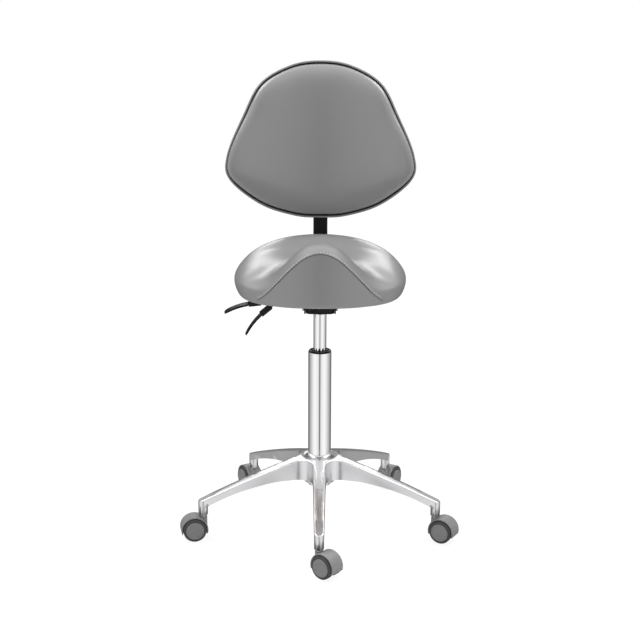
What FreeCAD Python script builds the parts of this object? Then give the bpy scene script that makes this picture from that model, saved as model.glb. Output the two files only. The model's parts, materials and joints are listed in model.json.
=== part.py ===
import FreeCAD, Part
import os
from math import atan2, cos, degrees, exp, hypot, pi, radians, sin, sqrt

# Dentist's saddle stool. A five-star cast base on hooded twin-wheel casters carries a gas lift.
# On it sit a tilting saddle seat with two hand levers, and a backrest on a bent steel bar.
# Millimetres. +Z is up, the origin is on the floor under the column, and the user faces -Y.

V = FreeCAD.Vector
ORIGIN = V(0, 0, 0)
X_AXIS = V(1, 0, 0)
Y_AXIS = V(0, 1, 0)
Z_AXIS = V(0, 0, 1)

# ---- fits
running = 0.05            # radial clearance of a pin or shaft that turns or slides
seated = 0.03             # radial clearance of a pressed, screwed or tapered seat
body_gap = 0.3            # between pieces that move past each other
soft_gap = 0.3            # round foam and covers

# ---- five-star base
arm_count = 5
stem_circle = 263.0       # radius of the caster stems
arm_root_width = 31.0
arm_tip_width = 20.6
arm_web_radius = 30.0     # round between neighbouring arms at the hub
arm_edge_round = 3.0
arm_wall = 3.4
arm_top_wall = 4.5
arm_rise = 3.6            # how far the top curve stands above its chord
arm_arch = 9.4            # how far the underside stands above its chord
arm_under_hub = 115.0
arm_under_tip = 66.0
arm_tip_top = 86.0
hub_radius = 33.0
hub_top = 163.0
hub_bottom = 104.0
hub_flat = 40.0           # radius of the level top round the column
rib_thickness = 2.6
rib_radii = (100.0, 150.0, 200.0)
socket_radius = 10.3
socket_bottom = 54.0
socket_chamfer = 1.6

# ---- casters
wheel_radius = 25.0
tyre_thickness = 5.7
wheel_width = 15.6
wheel_rim = 2.6
wheel_face = 2.4
wheel_hub_radius = 6.6
face_ring = 1.6           # raised ring on the wheel's outer face
caster_trail = 20.0
fork_thickness = 13.6     # moulded body between the two wheels
wheel_side_gap = 0.5
hood_gap = 1.6
hood_wall = 2.4
hood_width = 34.0
hood_reach = 17.0         # degrees that the hood goes below the axle on each side
axle_radius = 3.0
stem_radius = 5.5
stem_length = 25.0
collar_height = 3.4
collar_radius = 7.6
tail_radius = 4.0
tail_length = 18.0
boss_radius = 8.6
# For each caster, the direction of its arm and of its trail at rest, in degrees from +X
caster_rest = {"front": (-90, -39), "right": (-18, -29), "rear_right": (54, 58),
               "rear_left": (126, 121), "left": (198, 191)}

# ---- gas lift, drawn with 70 of its 200 travel used
column_radius = 25.0
column_wall = 2.0
column_top = 398.0
column_cone = 0.8         # radius lost down the hub's taper
column_foot = 8.0         # tube left below the hub
column_floor = 3.0
bush_length = 88.0
bush_lip = 3.0
lift_down = 70.0
lift_up = 130.0
cylinder_radius = 14.0
cylinder_wall = 1.6
cylinder_bottom = 190.0
cylinder_gland = 12.0
cone_length = 40.0        # cone at the top that sits in the seat's socket
cone_loss = 1.0
rod_radius = 5.0
rod_tail = 4.0
piston_height = 12.0
piston_margin = 2.0
race_radius = 10.0
race_height = 1.6
ball_radius = 2.0
ball_circle = 7.2
ball_count = 8
clip_thickness = 1.2
clip_radius = 7.0
pin_radius = 3.0
pin_length = 24.0
pin_proud = 5.0

# ---- tilt mechanism
socket_mouth = 483.0      # lower end of the tapered socket
mouth_radius = 18.0
bracket_half = 30.0
bracket_wall = 3.0
bracket_front = -66.0
bracket_back = 46.0
bracket_floor = 497.0
bracket_top = 521.0
bracket_corner = 12.0
pivot_y = 30.0
pivot_z = 511.0
lock_y = -47.5
lock_z = 507.0
bolt_radius = 4.0
bolt_head = 7.0
bolt_head_height = 4.0
tilt_forward = 10.0       # degrees, front edge down
tilt_back = 3.0
lug_thickness = 3.0
lug_half = 14.0
lug_below = 13.0          # lug past the bolt
plate_under = 546.0
plate_thickness = 3.0
plate_half_width = 85.0
plate_front = -75.0
plate_back = 130.0
plate_corner = 18.0
screw_x = 68.0
screw_front = -58.0
screw_back = 108.0
screw_radius = 3.0
screw_head = 6.0
screw_head_height = 3.0
screw_bite = 7.0

# ---- hand levers
lever_rod = 3.5
eye_radius = 5.2
eye_half = 5.0
eye_x = -22.5
ear_thickness = 2.5
ear_half = 5.0
pivot_pin = 2.5
nose_gap = 0.1            # between the lever's nose and the release pin
lever_bend = 14.0
tilt_lever_y = -27.5
tilt_lever_drop = 4.0     # tilt lever's axis below the other one
height_elbow = (-70.0, 512.0)
height_root = (-146.0, 503.5)
tilt_elbow = (-84.0, 521.0)
tilt_root = (-120.0, 491.0)
grip_socket = 20.0
grip_block = 26.0
grip_block_width = 15.0
grip_block_height = 12.0
grip_length = 80.0
grip_width = 26.0
grip_blade = 4.0
grip_curl = 150.0         # radius of the blade's downward curve

# ---- seat
pan_thickness = 10.0
pan_margin = 2.0          # level middle of the pan past the plate on each side
pan_curve = 235.0         # radius of its drooping sides
pan_half_front = 104.0
pan_half_middle = 160.0
pan_half_back = 104.0
pan_front = -141.0
pan_back = 172.0
pan_corner = 36.0
seat_tuck = 12.0          # how far the lower edge is drawn in
# Cross sections from front to back: place, half width, heights of the underside, of the widest
# edge, of the thigh rest and of the ridge, half width of the ridge, how square its shoulders are
seat_sections = {
    "front panel": (-160.0, 142.0, 530.0, 536.0, 541.0, 643.0, 100.0, 4.0),
    "pommel front": (-143.0, 166.0, 530.0, 546.0, 571.0, 654.0, 91.0, 3.2),
    "pommel": (-120.0, 180.0, 530.0, 555.0, 583.0, 655.0, 84.0, 2.6),
    "thighs": (-60.0, 186.0, 530.0, 558.0, 583.0, 622.0, 88.0, 2.3),
    "dip": (5.0, 187.0, 530.0, 558.0, 582.0, 602.0, 100.0, 2.0),
    "sit bones": (75.0, 187.0, 530.0, 557.0, 581.0, 605.0, 120.0, 2.0),
    "rear": (135.0, 186.0, 530.0, 556.0, 576.0, 616.0, 130.0, 2.0),
    "rear round": (172.0, 166.0, 536.0, 556.0, 570.0, 608.0, 120.0, 2.0),
    "rear edge": (195.0, 118.0, 548.0, 557.0, 561.0, 588.0, 100.0, 2.0),
}

# ---- back bar
bar_width = 32.0
bar_thickness = 8.0
bar_level = 518.0         # underside of the level leg
bar_bend = 32.0           # inside radius
bar_bend_y = 187.0        # centre of the bend
bar_front = 64.0
bar_upright = 300.0
back_lean = 5.0           # degrees
guide_wall = 3.0
guide_front = 74.0
guide_back = 128.0
depth_in = 15.0
depth_out = 25.0

# ---- backrest, laid out along the upright bar: height 0 is the start of the straight leg
back_bottom = 104.0
back_height = 336.0
back_half_top = 128.0
back_half_low = 218.0
back_low_corner = 96.0    # height of the widest corner above the bottom
back_top_bow = 48.0
back_low_bow = 30.0
back_top_round = 44.0
back_low_round = 66.0
back_curve = 450.0
shell_wall = 4.0
shell_depth = 13.0
shell_rim = 3.0
back_foam = 38.0
back_foam_round = 11.0
slider_wall = 4.0
slider_half = 32.0
slider_bottom = 177.0
slider_height = 110.0
boss_margin = 4.0
slider_screw_x = 25.6
slider_screw_inset = 12.0
height_down = 25.0
height_up = 45.0

# ---- clamp knobs
knob_radius = 18.0
knob_height = 14.0
knob_lobes = 6
knob_scallop = 6.0
knob_stand = 3.0
stud_radius = 4.0

parts = {}


# ---- helpers
def box(x0, x1, y0, y1, z0, z1):
    return Part.makeBox(x1 - x0, y1 - y0, z1 - z0, V(x0, y0, z0))


def rod(radius, start, direction, length):
    return Part.makeCylinder(radius, length, start, direction)


def tube(outer, inner, start, direction, length):
    return rod(outer, start, direction, length).cut(rod(inner, start, direction, length))


def spun(points):
    """Solid of revolution about +Z from (radius, height) corners."""
    corners = [V(r, 0, z) for r, z in points]
    return Part.Face(Part.makePolygon(corners + corners[:1])).revolve(ORIGIN, Z_AXIS, 360)


def fuse(shapes):
    whole = shapes[0]
    for shape in shapes[1:]:
        whole = whole.fuse(shape)
    return whole.removeSplitter()


def turned(shape, angle, axis=Z_AXIS, point=ORIGIN):
    copy = shape.copy()
    copy.rotate(point, axis, angle)
    return copy


def moved(shape, x, y, z):
    copy = shape.copy()
    copy.translate(V(x, y, z))
    return copy


def prism(points, vector):
    return Part.Face(Part.makePolygon(points + points[:1])).extrude(vector)


def rounded(shape, radius, axis, keep=None):
    """Fillets the straight edges along an axis, or those of them that pass the test keep."""
    edges = [e for e in shape.Edges
             if e.Curve.TypeId == "Part::GeomLine"
             and abs(abs(e.tangentAt(e.FirstParameter).dot(axis)) - 1) < 1e-6
             and (keep is None or keep(e.Vertexes[0].Point))]
    return shape.makeFillet(radius, edges)


def bent_path(points, radius):
    """Straight runs joined by tangent arcs."""
    edges = []
    start = points[0]
    for before, corner, after in zip(points, points[1:], points[2:]):
        back = (before - corner).normalize()
        ahead = (after - corner).normalize()
        half = back.getAngle(ahead) / 2
        reach = radius * cos(half) / sin(half)
        middle = corner + (back + ahead).normalize() * (radius / sin(half) - radius)
        edges.append(Part.LineSegment(start, corner + back * reach).toShape())
        edges.append(Part.Arc(corner + back * reach, middle, corner + ahead * reach).toShape())
        start = corner + ahead * reach
    edges.append(Part.LineSegment(start, points[-1]).toShape())
    return Part.Wire(edges)


def swept_rod(points, radius, bend):
    path = bent_path(points, bend)
    ring = Part.Wire(Part.makeCircle(radius, points[0], points[1] - points[0]))
    return path.makePipeShell([ring], True, False)


def write(name, *solids):
    parts[name] = solids[0] if len(solids) == 1 else Part.makeCompound(list(solids))


# ---- five-star base
arm_end = stem_circle + socket_radius + 1


def arm_directions():
    return [-90 + i * 360 / arm_count for i in range(arm_count)]


def at_stem(direction, z):
    a = radians(direction)
    return V(stem_circle * cos(a), stem_circle * sin(a), z)


def star_plan(inset, height):
    """Upright prism of the star's outline, drawn in by inset."""
    root = arm_root_width / 2 - inset
    tip = arm_tip_width / 2 - inset
    arm = prism([V(0, root, 0), V(stem_circle, tip, 0), V(stem_circle, -tip, 0), V(0, -root, 0)],
                V(0, 0, height))
    star = fuse([turned(arm, d) for d in arm_directions()])
    return rounded(star, arm_web_radius + inset, Z_AXIS,
                   lambda p: hypot(p.x, p.y) < stem_circle / 2)


def under_arm_top(drop):
    """Body of revolution that ends at the arms' upper curve, lowered by drop."""
    start = V(hub_flat, 0, hub_top - drop)
    end = V(arm_end, 0, arm_tip_top - drop)
    middle = (start + end) * 0.5 + V(0, 0, arm_rise)
    edges = [
        Part.LineSegment(ORIGIN, V(0, 0, start.z)).toShape(),
        Part.LineSegment(V(0, 0, start.z), start).toShape(),
        Part.Arc(start, middle, end).toShape(),
        Part.LineSegment(end, V(arm_end, 0, 0)).toShape(),
        Part.LineSegment(V(arm_end, 0, 0), ORIGIN).toShape(),
    ]
    return Part.Face(Part.Wire(edges)).revolve(ORIGIN, Z_AXIS, 360)


def over_arm_arch():
    """Body of revolution that starts at the arms' arched underside."""
    start = V(2.4 * hub_flat, 0, arm_under_hub)
    end = V(arm_end, 0, arm_under_tip)
    middle = (start + end) * 0.5 + V(0, 0, arm_arch)
    roof = hub_top + 10
    edges = [
        Part.LineSegment(V(0, 0, arm_under_hub), V(0, 0, roof)).toShape(),
        Part.LineSegment(V(0, 0, roof), V(arm_end, 0, roof)).toShape(),
        Part.LineSegment(V(arm_end, 0, roof), end).toShape(),
        Part.Arc(end, middle, start).toShape(),
        Part.LineSegment(start, V(0, 0, arm_under_hub)).toShape(),
    ]
    return Part.Face(Part.Wire(edges)).revolve(ORIGIN, Z_AXIS, 360)


def stem_sockets():
    """Round ends of the arms that hold the caster stems."""
    height = hub_top - socket_bottom
    post = rod(socket_radius, ORIGIN, Z_AXIS, height)
    post = post.makeChamfer(socket_chamfer, [e for e in post.Edges if e.BoundBox.ZMax < 0.1])
    cap = under_arm_top(0)
    posts = []
    for direction in arm_directions():
        foot = at_stem(direction, socket_bottom)
        posts.append(moved(post, foot.x, foot.y, foot.z).common(cap))
    return posts


def star_base():
    height = hub_top + 20
    sockets = stem_sockets()
    hub = rod(hub_radius, V(0, 0, hub_bottom), Z_AXIS, hub_top - hub_bottom)
    arms = star_plan(0, height).common(under_arm_top(0)).common(over_arm_arch())
    solid = fuse([arms, hub] + sockets)
    top_curve = Part.Arc(V(hub_flat, 0, hub_top),
                         (V(hub_flat, 0, hub_top) + V(arm_end, 0, arm_tip_top)) * 0.5 + V(0, 0, arm_rise),
                         V(arm_end, 0, arm_tip_top)).toShape()

    def on_upper_rim(edge):
        if edge.Length < 3:
            return False
        middle = edge.valueAt((edge.FirstParameter + edge.LastParameter) / 2)
        radius = hypot(middle.x, middle.y)
        if radius < hub_radius + 6 or radius > arm_end:
            return False
        if radius <= hub_flat:
            return abs(middle.z - hub_top) < 0.4
        return top_curve.distToShape(Part.Vertex(V(radius, 0, middle.z)))[0] < 0.4

    solid = solid.makeFillet(arm_edge_round, [e for e in solid.Edges if on_upper_rim(e)])
    # the arms are open below, with cross ribs
    hollow = star_plan(arm_wall, height).common(under_arm_top(arm_top_wall))
    hollow = hollow.cut(rod(hub_radius, ORIGIN, Z_AXIS, height))
    for direction, socket in zip(arm_directions(), sockets):
        hollow = hollow.cut(socket)
        for radius in rib_radii:
            rib = box(radius - rib_thickness / 2, radius + rib_thickness / 2,
                      -arm_root_width, arm_root_width, 0, height)
            hollow = hollow.cut(turned(rib, direction))
    solid = solid.cut(hollow)
    solid = solid.cut(Part.makeCone(column_radius - column_cone + seated, column_radius + seated,
                                    hub_top - hub_bottom, V(0, 0, hub_bottom), Z_AXIS))
    for direction in arm_directions():
        solid = solid.cut(rod(stem_radius + running, at_stem(direction, socket_bottom), Z_AXIS,
                              stem_length + 1))
    return solid


# ---- casters, drawn with the stem on the Z axis and the trail along +X
axle_point = V(caster_trail, 0, wheel_radius)
hood_inner = wheel_radius + hood_gap
hood_outer = hood_inner + hood_wall
collar_bottom = socket_bottom - body_gap - collar_height


def across(radius, half_width):
    """Round bar centred on the axle's line."""
    return rod(radius, axle_point - Y_AXIS * half_width, Y_AXIS, 2 * half_width)


def caster_hood():
    low = wheel_radius - hood_outer * sin(radians(hood_reach))
    hood = across(hood_outer, hood_width / 2).cut(across(hood_inner, hood_width / 2))
    fork = across(hood_inner + 0.5, fork_thickness / 2)
    boss = rod(boss_radius, V(0, 0, wheel_radius), Z_AXIS, collar_bottom - wheel_radius)
    boss = boss.cut(across(hood_inner, hood_width / 2))
    body = fuse([hood, fork, boss])
    floor = box(-hood_outer, caster_trail + 2 * hood_outer, -hood_width, hood_width, -hood_outer, low)
    body = body.cut(floor)
    body = body.cut(across(axle_radius + seated, fork_thickness))
    body = body.cut(rod(collar_radius + body_gap, V(0, 0, collar_bottom), Z_AXIS, hood_outer))
    return body.cut(rod(tail_radius + seated, V(0, 0, collar_bottom - tail_length), Z_AXIS, tail_length))


def caster_stem():
    return fuse([
        rod(tail_radius, V(0, 0, collar_bottom - tail_length), Z_AXIS, tail_length),
        rod(collar_radius, V(0, 0, collar_bottom), Z_AXIS, collar_height),
        rod(stem_radius, V(0, 0, collar_bottom), Z_AXIS, socket_bottom - collar_bottom + stem_length),
    ])


def wheel_about_axle(profile, side):
    """Turns a (radius, distance from the caster's middle) profile about the axle."""
    wheel = turned(spun(profile), -90 * side, X_AXIS)
    return moved(wheel, axle_point.x, 0, axle_point.z)


def caster_wheel(side):
    inner = fork_thickness / 2 + wheel_side_gap
    outer = inner + wheel_width
    rim = wheel_radius - tyre_thickness
    ring = rim - wheel_rim / 2
    bore = axle_radius + running
    return wheel_about_axle([
        (bore, inner), (wheel_hub_radius, inner), (wheel_hub_radius, outer - 2 * wheel_face),
        (rim - wheel_rim, outer - 2 * wheel_face), (rim - wheel_rim, inner + 1), (rim, inner + 1),
        (rim, outer - face_ring), (ring, outer), (ring - face_ring, outer),
        (ring - 2 * face_ring, outer - face_ring / 2), (0, outer - face_ring / 2),
        (0, outer - wheel_face), (bore, outer - wheel_face)], side)


def caster_tyre(side):
    inner = fork_thickness / 2 + wheel_side_gap + 1
    outer = inner + wheel_width - 2 * face_ring
    rim = wheel_radius - tyre_thickness
    return wheel_about_axle([
        (rim, inner), (wheel_radius - 1.2, inner), (wheel_radius, inner + 1.2),
        (wheel_radius, outer - 2.2), (wheel_radius - 2.2, outer), (rim, outer)], side)


def casters():
    half_axle = fork_thickness / 2 + wheel_side_gap + wheel_width - wheel_face - 1
    pieces = {
        "hood": caster_hood(),
        "stem": caster_stem(),
        "axle": across(axle_radius, half_axle),
        "wheel_left": caster_wheel(1),
        "tyre_left": caster_tyre(1),
        "wheel_right": caster_wheel(-1),
        "tyre_right": caster_tyre(-1),
    }
    for place, (arm, trail) in caster_rest.items():
        foot = at_stem(arm, 0)
        for piece, shape in pieces.items():
            write("caster_" + place + "_" + piece, moved(turned(shape, trail), foot.x, foot.y, 0))


# ---- gas lift
column_bottom = hub_bottom - column_foot
cone_top = socket_mouth + cone_length
bush_radius = column_radius - column_wall - seated


def column_tube():
    foot = column_radius - column_cone
    inside = column_radius - column_wall
    return spun([
        (rod_tail + running, column_bottom), (foot, column_bottom), (foot, hub_bottom),
        (column_radius, hub_top), (column_radius, column_top), (inside, column_top),
        (inside, hub_top), (foot - column_wall, hub_bottom),
        (foot - column_wall, column_bottom + column_floor), (rod_tail + running, column_bottom + column_floor)])


def guide_bush():
    bore = cylinder_radius + running
    low = column_top - bush_length
    return spun([
        (bore, low), (bush_radius - 1.5, low), (bush_radius, low + 1.5), (bush_radius, column_top),
        (column_radius - 0.8, column_top), (column_radius - 1.8, column_top + bush_lip),
        (bore + 1.5, column_top + bush_lip), (bore, column_top + bush_lip - 1)])


def thrust_bearing():
    base = column_bottom + column_floor
    solids = [tube(race_radius, rod_tail + running, V(0, 0, base), Z_AXIS, race_height),
              tube(race_radius, rod_tail + running, V(0, 0, base + race_height + 2 * ball_radius),
                   Z_AXIS, race_height)]
    for i in range(ball_count):
        angle = radians(i * 360 / ball_count)
        centre = V(ball_circle * cos(angle), ball_circle * sin(angle), base + race_height + ball_radius)
        solids.append(Part.makeSphere(ball_radius, centre))
    return solids


def piston_rod():
    shoulder = column_bottom + column_floor + 2 * race_height + 2 * ball_radius
    piston_bottom = cylinder_bottom + cylinder_gland + lift_up + piston_margin
    bore = cylinder_radius - cylinder_wall - running
    low = column_bottom - clip_thickness - 3
    groove = rod_tail - 1
    return spun([
        (0, low), (rod_tail, low), (rod_tail, column_bottom - clip_thickness - body_gap),
        (groove, column_bottom - clip_thickness - body_gap), (groove, column_bottom - body_gap / 2),
        (rod_tail, column_bottom - body_gap / 2), (rod_tail, shoulder), (rod_radius, shoulder),
        (rod_radius, piston_bottom), (bore, piston_bottom), (bore, piston_bottom + piston_height),
        (0, piston_bottom + piston_height)])


def rod_clip():
    top = column_bottom - body_gap / 2
    clip = tube(clip_radius, rod_tail - 1 + seated, V(0, 0, top - clip_thickness), Z_AXIS, clip_thickness)
    mouth = rod_tail - 1
    return clip.cut(box(0, 2 * clip_radius, -mouth, mouth, top - 2 * clip_thickness, top + 1))


def gas_cylinder():
    inside = cylinder_radius - cylinder_wall
    pin_hole = pin_radius + running
    seat = cone_top - pin_length + pin_proud - 3
    return spun([
        (rod_radius + running, cylinder_bottom), (cylinder_radius - 1, cylinder_bottom),
        (cylinder_radius, cylinder_bottom + 1), (cylinder_radius, socket_mouth),
        (cylinder_radius - cone_loss, cone_top), (pin_hole, cone_top), (pin_hole, seat), (0, seat),
        (0, seat - 4), (inside, seat - 4), (inside, cylinder_bottom + cylinder_gland),
        (rod_radius + running, cylinder_bottom + cylinder_gland)])


def release_pin():
    low = cone_top + pin_proud - pin_length
    pin = rod(pin_radius, V(0, 0, low), Z_AXIS, pin_length)
    return pin.makeFillet(1, [e for e in pin.Edges if e.BoundBox.ZMin > low + pin_length - 0.1])


# ---- tilt mechanism
lever_z = cone_top + pin_proud + nose_gap + lever_rod
lever_lines = {"height": (0.0, lever_z), "tilt": (tilt_lever_y, lever_z - tilt_lever_drop)}
lug_inside = bracket_half + body_gap
plate_top = plate_under + plate_thickness


def bracket_ears(y, z):
    """Pair of ears that hold a lever's pivot pin."""
    ears = []
    for side in (-1, 1):
        near = y + side * (eye_half + body_gap)
        far = near + side * ear_thickness
        ear = box(eye_x - ear_half, eye_x + ear_half, min(near, far), max(near, far), bracket_floor, z)
        ears.append(ear.fuse(rod(ear_half, V(eye_x, min(near, far), z), Y_AXIS, ear_thickness)))
    return ears


def mechanism_housing():
    outer = box(-bracket_half, bracket_half, bracket_front, bracket_back, bracket_floor, bracket_top)
    outer = rounded(outer, bracket_corner, Z_AXIS, lambda p: p.y < 0)
    inner = box(-bracket_half + bracket_wall, bracket_half - bracket_wall,
                bracket_front + bracket_wall, bracket_back + 1,
                bracket_floor + bracket_wall, bracket_top + 1)
    inner = rounded(inner, bracket_corner - bracket_wall, Z_AXIS, lambda p: p.y < 0)
    tray = outer.cut(inner)
    # the side walls run down to the rear in a slant
    slant = prism([V(-bracket_half - 1, bracket_back - 10, bracket_top + 1),
                   V(-bracket_half - 1, bracket_back + 1, bracket_top + 1),
                   V(-bracket_half - 1, bracket_back + 1, bracket_top - 10)],
                  V(2 * bracket_half + 2, 0, 0))
    tray = tray.cut(slant)
    mouth = spun([(0, socket_mouth), (mouth_radius - 3, socket_mouth), (mouth_radius, socket_mouth + 4),
                  (mouth_radius, cone_top - 1), (0, cone_top - 1)])
    solids = [tray, mouth]
    for y, z in lever_lines.values():
        solids += bracket_ears(y, z)
    solid = fuse(solids)
    solid = solid.cut(Part.makeCone(cylinder_radius + seated, cylinder_radius - cone_loss + seated,
                                    cone_length, V(0, 0, socket_mouth), Z_AXIS))
    for y, z in ((pivot_y, pivot_z), (lock_y, lock_z)):
        solid = solid.cut(rod(bolt_radius + seated, V(-2 * bracket_half, y, z), X_AXIS, 4 * bracket_half))
    for y, z in lever_lines.values():
        solid = solid.cut(rod(pivot_pin + seated, V(eye_x, y - 15, z), Y_AXIS, 30))
    return solid


def mechanism_pins():
    """Two cross bolts of the tilt, and the two pivot pins of the levers."""
    half = lug_inside + lug_thickness + running
    solids = []
    for y, z in ((pivot_y, pivot_z), (lock_y, lock_z)):
        shank = rod(bolt_radius, V(-half, y, z), X_AXIS, 2 * half)
        heads = [rod(bolt_head, V(-half - bolt_head_height, y, z), X_AXIS, bolt_head_height),
                 rod(bolt_head, V(half, y, z), X_AXIS, bolt_head_height)]
        solids.append(fuse([shank] + heads))
    reach = eye_half + body_gap + ear_thickness
    for y, z in lever_lines.values():
        solids.append(rod(pivot_pin, V(eye_x, y - reach, z), Y_AXIS, 2 * reach))
    return solids


def seat_lug(y, z, top):
    lug = box(lug_inside, lug_inside + lug_thickness, y - lug_half, y + lug_half, z - lug_below, top)
    return rounded(lug, lug_half - 3, X_AXIS, lambda p: p.z < z)


def tilt_slot():
    """Curved slot in which the front bolt travels as the seat tilts."""
    reach = hypot(lock_y - pivot_y, lock_z - pivot_z)
    half = bolt_radius + running
    start = V(-2 * bracket_half, pivot_y, pivot_z)
    ring = tube(reach + half, reach - half, start, X_AXIS, 4 * bracket_half)
    bolt = degrees(atan2(lock_z - pivot_z, lock_y - pivot_y))
    far = 2 * reach

    def spoke(tilt):
        angle = radians(bolt - tilt)
        return V(start.x, pivot_y + far * cos(angle), pivot_z + far * sin(angle))

    wedge = prism([start, spoke(-tilt_back), spoke(tilt_forward)], V(4 * bracket_half, 0, 0))
    ends = []
    for tilt in (-tilt_back, tilt_forward):
        angle = radians(bolt - tilt)
        ends.append(rod(half, V(start.x, pivot_y + reach * cos(angle), pivot_z + reach * sin(angle)),
                        X_AXIS, 4 * bracket_half))
    return fuse([ring.common(wedge)] + ends)


def screw_places():
    return [(x, y) for x in (-screw_x, screw_x) for y in (screw_front, screw_back)]


def seat_plate():
    plate = box(-plate_half_width, plate_half_width, plate_front, plate_back, plate_under, plate_top)
    plate = rounded(plate, plate_corner, Z_AXIS)
    lugs = [seat_lug(pivot_y, pivot_z, plate_top), seat_lug(lock_y, lock_z, plate_top)]
    lugs += [turned(lug.mirror(ORIGIN, X_AXIS), 0) for lug in lugs]
    guide_half = bar_width / 2 + body_gap + guide_wall
    guide = box(-guide_half, guide_half, guide_front, guide_back,
                bar_level - body_gap - guide_wall, plate_under)
    slot_top = bar_level + bar_thickness + body_gap
    bar_slot = box(-bar_width / 2 - body_gap, bar_width / 2 + body_gap, guide_front - 1, guide_back + 1,
                   bar_level - body_gap, slot_top)
    roof = box(-bar_width / 2 - body_gap, bar_width / 2 + body_gap, guide_front - 1, guide_back + 1,
               slot_top + guide_wall, plate_under)
    solid = fuse([plate] + lugs + [guide.cut(bar_slot).cut(roof)])
    solid = solid.cut(rod(bolt_radius + running, V(-2 * bracket_half, pivot_y, pivot_z), X_AXIS,
                          4 * bracket_half))
    solid = solid.cut(tilt_slot())
    for x, y in screw_places():
        solid = solid.cut(rod(screw_radius + seated, V(x, y, plate_under - 1), Z_AXIS, plate_thickness + 2))
    middle = (guide_front + guide_back) / 2
    return solid.cut(rod(stud_radius + running, V(0, middle, bar_level - 2 * guide_wall), Z_AXIS,
                         2 * guide_wall))


# ---- hand levers
def lever(name, elbow, root, nose):
    y, z = lever_lines[name]
    knee = V(-lever_bend - bracket_half - 2, y, z)
    points = [V(nose, y, z), knee, V(elbow[0], y, elbow[1]), V(root[0], y, root[1])]
    bar = swept_rod(points, lever_rod, lever_bend)
    eye = rod(eye_radius, V(eye_x, y - eye_half, z), Y_AXIS, 2 * eye_half)
    bar = fuse([bar, eye]).cut(rod(pivot_pin + running, V(eye_x, y - 15, z), Y_AXIS, 30))
    write(name + "_lever_rod", bar)
    droop = degrees(atan2(elbow[1] - root[1], elbow[0] - root[0]))
    grip = turned(turned(lever_grip(), 180), -droop, Y_AXIS)
    write(name + "_lever_grip", moved(grip, root[0], y, root[1]))


def lever_grip():
    """Paddle drawn outward along +X from the end of the rod at the origin."""
    block = box(-grip_socket, grip_block - grip_socket, -grip_block_width / 2, grip_block_width / 2,
                -grip_block_height / 2, grip_block_height / 2)
    block = rounded(block, 3, X_AXIS)
    start = grip_block - grip_socket - 8
    centre = V(start, 0, -grip_curl)
    ring = tube(grip_curl + grip_blade / 2, grip_curl - grip_blade / 2,
                centre - Y_AXIS * grip_width / 2, Y_AXIS, grip_width)
    end = grip_length - grip_socket
    plan = prism([V(start, -grip_block_width / 2, -grip_curl), V(start + 12, -grip_width / 2, -grip_curl),
                  V(end, -grip_width / 2, -grip_curl), V(end, grip_width / 2, -grip_curl),
                  V(start + 12, grip_width / 2, -grip_curl), V(start, grip_block_width / 2, -grip_curl)],
                 V(0, 0, 2 * grip_curl))
    plan = rounded(plan, grip_width / 2 - 2, Z_AXIS, lambda p: p.x > end - 1)
    blade = ring.common(plan)
    bore = rod(lever_rod + seated, V(-grip_socket - 1, 0, 0), X_AXIS, grip_socket + 1)
    return fuse([block, blade]).cut(bore)


# ---- seat
pan_top = plate_top + pan_thickness
pan_flat = plate_half_width + pan_margin


def pan_profile(top, bottom):
    """Level middle and drooping sides between two heights, drawn along the whole seat."""
    reach = pan_half_middle + 10
    drop = pan_curve - sqrt(pan_curve ** 2 - (reach - pan_flat) ** 2)
    half_drop = pan_curve - sqrt(pan_curve ** 2 - ((reach - pan_flat) / 2) ** 2)

    def side(x_sign, z):
        return Part.Arc(V(x_sign * pan_flat, 0, z),
                        V(x_sign * (pan_flat + reach) / 2, 0, z - half_drop),
                        V(x_sign * reach, 0, z - drop)).toShape()

    edges = [
        side(-1, top), Part.LineSegment(V(-pan_flat, 0, top), V(pan_flat, 0, top)).toShape(), side(1, top),
        Part.LineSegment(V(reach, 0, top - drop), V(reach, 0, bottom - drop)).toShape(),
        side(1, bottom), Part.LineSegment(V(pan_flat, 0, bottom), V(-pan_flat, 0, bottom)).toShape(),
        side(-1, bottom),
        Part.LineSegment(V(-reach, 0, bottom - drop), V(-reach, 0, top - drop)).toShape(),
    ]
    face = Part.Face(Part.Wire(Part.__sortEdges__(edges)))
    return moved(face.extrude(V(0, 600, 0)), 0, -300, 0)


def pan_plan(grow):
    """Upright prism of the pan's outline, grown all round."""
    half_front = pan_half_front + grow
    half_middle = pan_half_middle + grow
    half_back = pan_half_back + grow
    front = pan_front - grow
    back = pan_back + grow
    points = [V(-half_front, front, 0), V(half_front, front, 0), V(half_middle, -80, 0),
              V(half_middle, 120, 0), V(half_back, back, 0), V(-half_back, back, 0),
              V(-half_middle, 120, 0), V(-half_middle, -80, 0)]
    return rounded(prism(points, V(0, 0, 700)), pan_corner, Z_AXIS)


def seat_pan():
    pan = pan_profile(pan_top, plate_top).common(pan_plan(0))
    for x, y in screw_places():
        pan = pan.cut(rod(screw_radius + seated, V(x, y, plate_top - 1), Z_AXIS, screw_bite + 1))
    return pan


def seat_screws():
    length = plate_thickness + screw_bite - 0.5
    return [fuse([rod(screw_head, V(x, y, plate_under - screw_head_height), Z_AXIS, screw_head_height),
                  rod(screw_radius, V(x, y, plate_under), Z_AXIS, length)])
            for x, y in screw_places()]


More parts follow.
